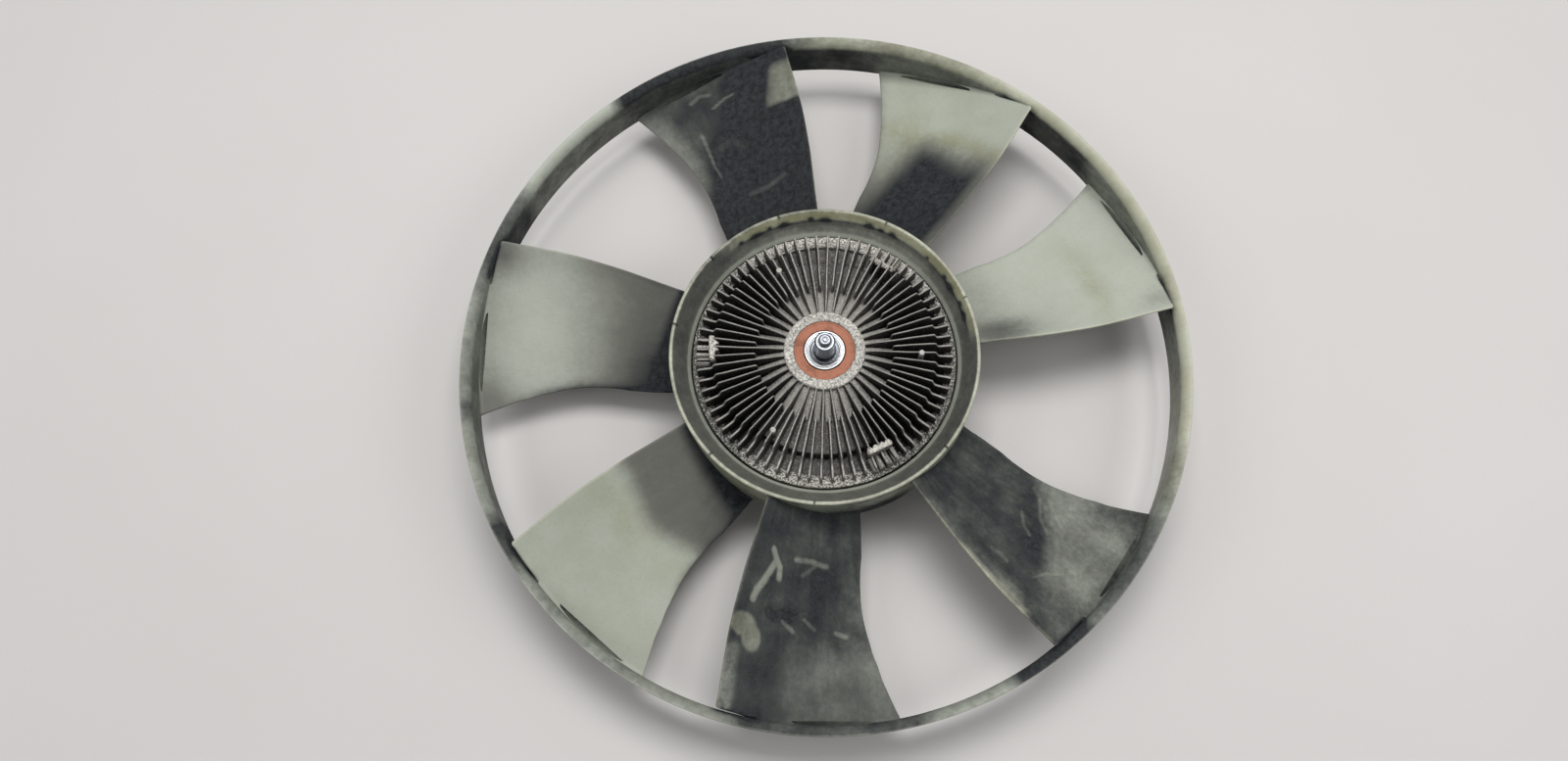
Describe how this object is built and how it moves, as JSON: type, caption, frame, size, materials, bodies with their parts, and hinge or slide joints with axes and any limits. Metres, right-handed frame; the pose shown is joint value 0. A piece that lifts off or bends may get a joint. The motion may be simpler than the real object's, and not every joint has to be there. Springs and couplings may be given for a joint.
{
  "type": "engine cooling fan with viscous clutch",
  "caption": "Ring-shrouded axial engine cooling fan with unevenly spaced broad blades, bolted round a finned viscous clutch that turns on a threaded input shaft.",
  "frame": {"origin": "on the fan's axis, at the face of the clutch guard rim that it rests on", "axes": "+Z along the axis of rotation towards the engine side and the threaded stud; +X towards the gap between two blades"},
  "size_m": [0.5, 0.5, 0.098],
  "materials": {
    "moulded_nylon": "natural glass-filled nylon, satin, sooty",
    "cast_aluminium": "die-cast, dull, oxidised",
    "plated_steel": "zinc plated",
    "bearing_steel": "ground and polished",
    "shaft_steel": "turned, darkened",
    "sheet_steel": "cold rolled",
    "seal_rubber": "terracotta, matt",
    "o_ring_rubber": "black, matt",
    "cage_polymer": "brown polymer",
    "bronze": "sintered",
    "bimetal": "rolled strip"
  },
  "bodies": {
    "input_shaft": {"input_shaft": "shaft_steel", "drive_rotor": "cast_aluminium", "bearing_inner_race": "bearing_steel"},
    "fan": {"fan_outer_ring": "moulded_nylon", "fan_blades": "moulded_nylon", "fan_hub": "moulded_nylon", "fan_flange_sleeves": "plated_steel", "fan_bolts": "plated_steel", "rear_housing": "cast_aluminium", "front_cover": "cast_aluminium", "bearing_outer_race": "bearing_steel", "bearing_rear_seal": "seal_rubber", "bearing_front_seal": "seal_rubber", "cover_o_ring": "o_ring_rubber", "cover_screws": "plated_steel", "separator_plate": "sheet_steel", "pump_wiper": "cage_polymer", "valve_bush": "bronze", "valve_o_ring": "o_ring_rubber", "bimetal_coil": "bimetal", "coil_anchor_post": "plated_steel"},
    "ball_cage": {"bearing_cage": "cage_polymer", "bearing_balls": "bearing_steel"},
    "valve": {"valve_shaft": "shaft_steel", "valve_arm": "sheet_steel"}
  },
  "joints": [
    {"name": "fan_spin", "type": "hinge", "parent": "input_shaft", "child": "fan", "pos_m": [0, 0, 0.0682], "axis": [0, 0, 1], "continuous": true},
    {"name": "cage_spin", "type": "hinge", "parent": "input_shaft", "child": "ball_cage", "pos_m": [0, 0, 0.0682], "axis": [0, 0, 1], "continuous": true},
    {"name": "valve_turn", "type": "hinge", "parent": "fan", "child": "valve", "pos_m": [0, 0, 0.02], "axis": [0, 0, 1], "range_deg": [0, 28]}
  ],
  "couplings": [
    {"joint": "cage_spin", "follows": "fan_spin", "ratio": 0.5984}
  ]
}
